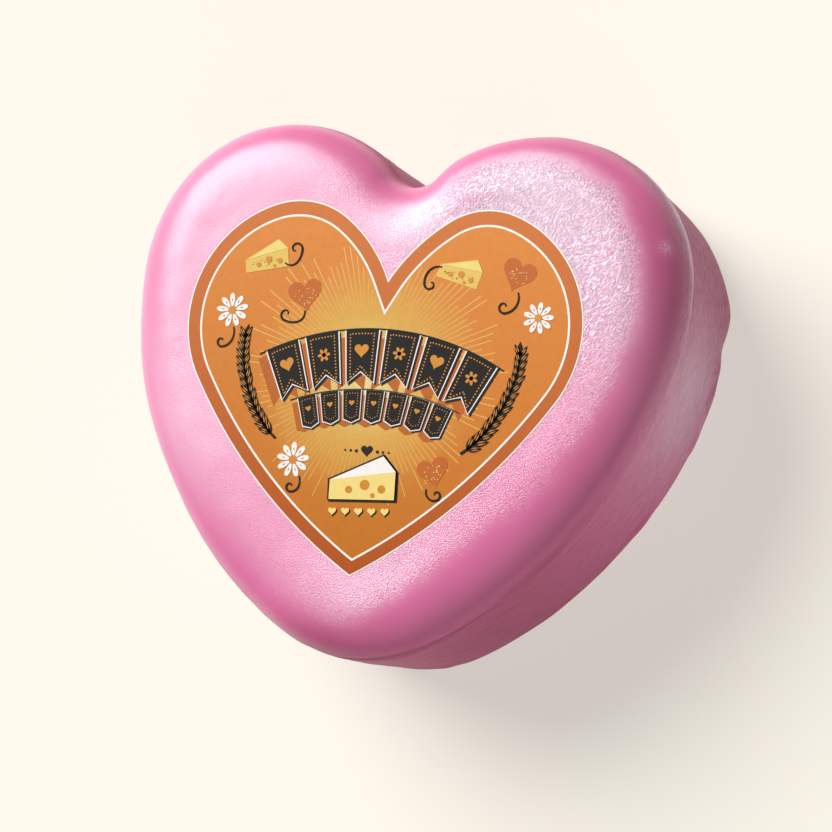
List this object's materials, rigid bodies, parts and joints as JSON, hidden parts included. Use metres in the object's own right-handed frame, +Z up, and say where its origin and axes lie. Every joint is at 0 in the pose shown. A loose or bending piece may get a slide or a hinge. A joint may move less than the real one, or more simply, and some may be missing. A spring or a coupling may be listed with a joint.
{
  "type": "heart-shaped cheddar",
  "caption": "Solid heart-shaped truckle of waxed hard cheese with broad rounded edges, a flat back to rest on and a heart-shaped paper label on its flat face.",
  "frame": {"origin": "centre of the heart's box on the plane it rests on", "axes": "+X to the right across both lobes, +Y towards the cleft between the lobes, -Y towards the tip, +Z up out of the labelled face"},
  "size_m": [0.09, 0.082, 0.0362],
  "materials": {
    "pink_wax": "dipped cheese wax, satin, softly pebbled on the flat face and smooth on the rounded edge",
    "label_paper": "coated paper printed in flat orange, gold, dark brown and cream inks, satin"
  },
  "bodies": {
    "root": {"waxed_cheese": "pink_wax", "label": "label_paper"}
  },
  "joints": []
}
